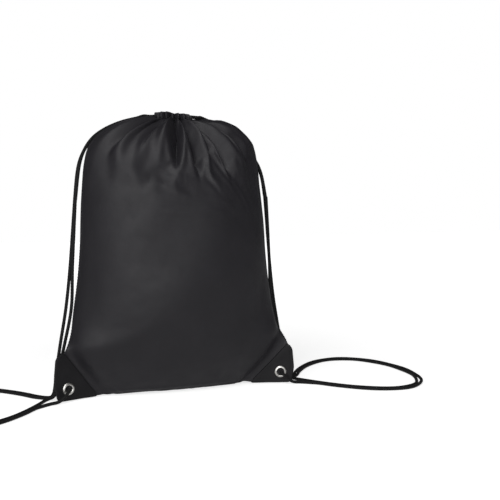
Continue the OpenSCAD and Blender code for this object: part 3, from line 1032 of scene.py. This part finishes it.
def braid_relief(around, along):
    """Low relief of the braid's strands round the cord."""
    turn = 2 * math.pi * along / BRAID_PITCH
    waves = np.maximum(np.sin(BRAID_STRANDS * around + turn), np.sin(BRAID_STRANDS * around - turn))
    return 0.035 * waves - 0.02


def drape(path):
    """Draws a cord's middle line tight over the bag's cloth, with its ends held."""
    moved = resample(path, 5 * MM)
    for _ in range(DRAPES):
        moved[1:-1] += 0.3 * ((moved[:-2] + moved[2:]) / 2 - moved[1:-1])
        for i in range(1, len(moved) - 1):
            point = Vector(moved[i])
            hit, normal, _, distance = cloth_tree.find_nearest(point)
            inside = (point - hit).dot(normal) < 0
            depth = LIFT + distance if inside else LIFT - distance
            if depth > 0:
                moved[i] += np.array(normal) * depth
    return moved


def slack_point(t, lane):
    """A point of the loop lying on the floor, t from 0 to 1 along its teardrop."""
    half_turn, turn = math.pi * t, 2 * math.pi * t
    pointed = 1 - SLACK_ROUND
    x = slack_reach * (pointed * math.sin(half_turn) + SLACK_ROUND * (1 - math.cos(turn)) / 2)
    y = slack_spread * math.sin(turn)
    dx = slack_reach * (pointed * math.cos(half_turn) + SLACK_ROUND * math.sin(turn))
    dy = 2 * slack_spread * math.cos(turn)
    n = math.hypot(dx, dy)
    spread = cord_gap * lane * (1 + 0.5 * math.sin(9 * math.pi * t) ** 2 * math.sin(math.pi * t))
    return (swing_x + x + spread * dy / n, swing_y + y - spread * dx / n, floor_z)


EXIT, STRAP, START, LOOP, RETURN, END = range(6)    # the pieces that a strand is cut into

# How the strap hangs: share of the half width, depth in mm and share of the bag's height.
OVER_THE_BACK = [(0.275, 13, 1.005), (0.38, 22, 0.995), (0.50, 29, 0.972), (0.61, 31, 0.94),
                 (0.68, 26, 0.90), (0.73, 16, 0.86), (0.765, 5, 0.81)]
DOWN_THE_SIDE = [(0.795, 0, 0.70), (0.835, 0, 0.48), (0.872, 0, 0.33), (0.92, 0, 0.2),
                 (0.953, 1, 0.1), (0.968, 1, 0.04)]


def strand_points(lane):
    """Middle line of one strand on the right side, in the pieces that it's cut into.

    lane is -1 for the front strand, which ends behind the knot, and 1 for the back
    strand, which comes back through the eyelet."""
    hem_mid = (hem_low.z + hem_high.z) / 2
    inside = [(0.5 * hem_r, 9 * MM * lane, hem_mid), (0.85 * hem_r, 3.5 * MM * lane, hem_mid)]
    leaving = [(1.15 * hem_r, cord_gap * lane, hem_mid - 0.5 * MM)]
    up = cord_gap * lane * -0.75
    strap = []
    for share, depth, height in OVER_THE_BACK:
        strap.append((share * half_w - 0.4 * up, depth * MM + 0.55 * cord_gap * lane,
                      height * rim_z + up))
    for share, depth, height in DOWN_THE_SIDE:
        inward = PARTED * float(1 - ease(0, 0.3, abs(height - 0.3))) if lane < 0 else 0
        strap.append((share * half_w - inward, depth * MM + cord_gap * lane, height * rim_z))
    foot_x = 0.982 * half_w
    strap += [(foot_x, MM + cord_gap * lane, floor_z + 3.5 * MM),
              (foot_x + 5 * MM, 1.2 * MM + cord_gap * lane, floor_z)]
    start = [slack_point(t, -lane) for t in (0.03, 0.06, 0.09, 0.12, JOINT_AT)]
    loop = [slack_point(JOINT_AT + (1 - 2 * JOINT_AT) * k / LOOP_POINTS, -lane)
            for k in range(1, LOOP_POINTS + 1)]
    back = [slack_point(t, -lane) for t in (0.88, 0.91, 0.94)]
    if lane < 0:
        back += [slack_point(0.97, -lane), (swing_x + 4 * MM, swing_y - 2.5 * MM, floor_z)]
        end = [(swing_x - 6 * MM, swing_y + 0.6 * MM, 5.5 * MM),
               by_eyelet(1, 9, -13, -6.5), by_eyelet(1, 4, -11.5, -2)]
    else:
        front = patch_face + 1.5 * MM + cord_r + 0.8 * MM
        back += [(swing_x + 12 * MM, swing_y - 33 * MM, floor_z),
                 corner_point(1, eyelet_u + 29 * MM, front, floor_z)]
        end = [corner_point(1, eyelet_u + 18 * MM, front + 1.5 * MM, floor_z + 1.2 * MM),
               corner_point(1, eyelet_u + 10 * MM, front + 2.2 * MM, eyelet_z - 9 * MM),
               corner_point(1, eyelet_u + 4.3 * MM, front + 1.8 * MM, eyelet_z - 3.2 * MM),
               corner_point(1, eyelet_u + 0.5 * MM, front - 1.5 * MM, eyelet_z - 0.3 * MM),
               by_eyelet(1, 0, -1, 0), by_eyelet(1, 0, -8, 0)]
    return [inside + leaving, strap, start, loop, back, end]


def strand_pieces(hand, lane):
    """Rings of one strand, cut where the cord passes from one moving body to the next."""
    per = 8
    parts = [np.array(part) * (hand, 1, 1) for part in strand_points(lane)]
    over = np.vstack([parts[EXIT][-1:], parts[STRAP][:len(OVER_THE_BACK) + 1]])
    draped = drape(spline(over, per))
    parts[STRAP] = np.vstack([draped[2:-1:2], parts[STRAP][len(OVER_THE_BACK):]])
    ends = np.cumsum([len(part) for part in parts]) - 1
    curve = spline(np.vstack(parts), per)
    even = resample(curve, CORD_STEP)
    s = lengths_along(curve)
    total = lengths_along(even)
    cuts = [0] + [int(np.argmin(np.abs(total - s[end * per]))) for end in ends]
    rings, along = tube_rings(even, cord_r * 0.985, CORD_SIDES, braid_relief)
    return [(rings[a:b + 1], along[a:b + 1]) for a, b in zip(cuts, cuts[1:])]


GIRTH = 2 * math.pi * cord_r

strands = {(hand, lane): strand_pieces(hand, lane)
           for hand in HANDS.values() for lane in FACES.values()}


def add_cord(name, pieces, node):
    mesh = Mesh()
    for rings, along in pieces:
        add_tube(mesh, rings, along, GIRTH)
    cord = mesh.build(name, cord_look)
    stand_in(node)
    return cord


def add_side_cords(name, hand):
    """Both strands of one side, as pieces; the straps and the cord ends at the eyelet move with the
    bag.
    """
    for face_name, lane in FACES.items():
        strap = add_cord(f"{name}_strap_{face_name}", [strands[hand, lane][STRAP]],
                         f"{name}_strap_{face_name}_cord")
        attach(strap, "bag")
    start = add_cord(f"{name}_slack_beginning",
                     [strands[hand, lane][part] for lane in (-1, 1) for part in (START, RETURN)],
                     f"{name}_slack_start")
    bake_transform(start)
    loop = add_cord(f"{name}_slack_end", [strands[hand, lane][LOOP] for lane in (-1, 1)],
                    f"{name}_slack_loop")
    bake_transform(loop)
    through = add_cord(f"{name}_cord_through_eyelet", [strands[hand, 1][END]],
                       f"{name}_eyelet_cord")
    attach(through, "bag")
    tail = add_cord(f"{name}_cord_behind", [strands[hand, -1][END]], f"{name}_knot_tail")
    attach(tail, "bag")


def add_knot(name, hand):
    """An overhand knot drawn up behind the eyelet, with two short sealed ends."""
    turns = np.array([by_eyelet(hand, (2 + math.cos(3 * a)) * KNOT_SIZE * math.cos(2 * a),
                                -KNOT_OUT + 1.1 * KNOT_SIZE * math.sin(3 * a),
                                (2 + math.cos(3 * a)) * KNOT_SIZE * math.sin(2 * a))
                      for a in np.linspace(0, 2 * math.pi, 90)])
    mesh = Mesh()
    rings, along = tube_rings(resample(turns, CORD_STEP), 0.86 * cord_r, CORD_SIDES, braid_relief)
    add_tube(mesh, rings, along, GIRTH)
    for side in (-1, 1):
        stub = resample(spline([by_eyelet(hand, side * 2, -KNOT_OUT, -2),
                                by_eyelet(hand, side * 5, -KNOT_OUT - 2.5, -7),
                                by_eyelet(hand, side * 6.5, -KNOT_OUT - 4, -12)], 8), CORD_STEP)
        last = len(stub) - 1
        radii = 0.9 * cord_r * (1 - 0.45 * ease(last - 2, last, np.arange(last + 1)))
        rings, along = tube_rings(stub, radii, CORD_SIDES, braid_relief)
        add_tube(mesh, rings, along, GIRTH)
    fix_to_bag(mesh.build(f"{name}_knot", cord_look), f"{name}_cord_knot")


for name, hand in HANDS.items():
    add_side_cords(name, hand)
    add_knot(name, hand)

for face_name, face in FACES.items():
    mouth_cord = add_cord(f"hem_cords_{face_name}",
                          [strands[hand, face][EXIT] for hand in HANDS.values()],
                          f"{face_name}_hem_cords")
    follow_hem(mouth_cord)

# ---- floor, light, camera

FLOOR_BOUNCE = 0.2          # light that the floor adds from below, unseen by the camera
FLOOR_NEAR = 0.72           # glow of the floor that the camera sees: beside the bag, and
FLOOR_FAR = 1.0             # from four bag heights off


def add_floor():
    mesh = Mesh()
    side = 16 * rim_z
    rows = [[(side * (i - 0.5), side * (j - 0.5), 0) for i in (0, 1)] for j in (0, 1)]
    mesh.grid(rows, [[(0, 0), (1, 0)], [(0, 1), (1, 1)]])
    material, tree, shader = new_material("floor")
    seen = add_node(tree, "ShaderNodeLightPath").outputs["Is Camera Ray"]
    away = add_node(tree, "ShaderNodeVectorMath", {0: place_of(tree, from_object=True)},
                    operation="LENGTH").outputs["Value"]
    glow = remap(tree, seen, 0, 1, FLOOR_BOUNCE,
                 remap(tree, away, rim_z, 4 * rim_z, FLOOR_NEAR, FLOOR_FAR))
    set_inputs(tree, shader, {
        "Base Color": (0.7, 0.7, 0.7, 1), "Roughness": 0.7, "Specular IOR Level": 0.2,
        "Emission Color": (1, 1, 1, 1), "Emission Strength": glow})
    mesh.build("floor", material)


def aim(thing, place, target):
    thing.location = place
    thing.rotation_euler = (Vector(target) - Vector(place)).to_track_quat("-Z", "Y").to_euler()


def add_light(name, place, size, energy):
    data = bpy.data.lights.new(name, "AREA")
    data.size = size
    data.energy = energy
    aim(link_object(name, data), place, (0, 0, rim_z / 2))


BRIGHT_SIDE = (-0.4, -0.9, 0.1)     # the surroundings light the bag mostly from here
DIMMEST = 0.04
BRIGHTEST = 1.9


def add_studio():
    """Surroundings that look plain white and light the bag mostly from one side."""
    world = bpy.data.worlds.new("studio")
    bpy.context.scene.world = world
    world.use_nodes = True
    tree = world.node_tree
    seen = add_node(tree, "ShaderNodeLightPath").outputs["Is Camera Ray"]
    direction = add_node(tree, "ShaderNodeTexCoord").outputs["Generated"]
    toward = add_node(tree, "ShaderNodeVectorMath", {0: direction, 1: BRIGHT_SIDE},
                      operation="DOT_PRODUCT").outputs["Value"]
    facing = math_node(tree, "POWER", math_node(tree, "MAXIMUM", toward, 0.0), 3.5)
    lighting = remap(tree, facing, 0, 1, DIMMEST, BRIGHTEST)
    strength = add_node(tree, "ShaderNodeMix", {0: seen, 2: lighting, 3: 1.0}).outputs[0]
    set_inputs(tree, tree.nodes["Background"], {"Strength": strength, "Color": (1, 1, 1, 1)})
    add_light("key", (-0.7, -1.7, 0.3), 1.3, 11)
    add_light("overhead", (-0.6, -0.9, 1.6), 0.9, 12)
    bpy.context.scene.view_settings.view_transform = "Standard"


def add_camera():
    """Seen from the left of the front and slightly above, 3.5 bag heights away."""
    azimuth = math.radians(-21.19)
    elevation = math.radians(4.52)
    distance = 3.508 * rim_z
    target = Vector((0.655 * half_w, 0, 0.516 * rim_z))
    back = Vector((math.sin(azimuth) * math.cos(elevation),
                   -math.cos(azimuth) * math.cos(elevation), math.sin(elevation)))
    data = bpy.data.cameras.new("camera")
    data.lens = 65.9
    camera = link_object("camera", data)
    aim(camera, target + distance * back, target)
    bpy.context.scene.camera = camera


add_floor()
add_studio()
add_camera()
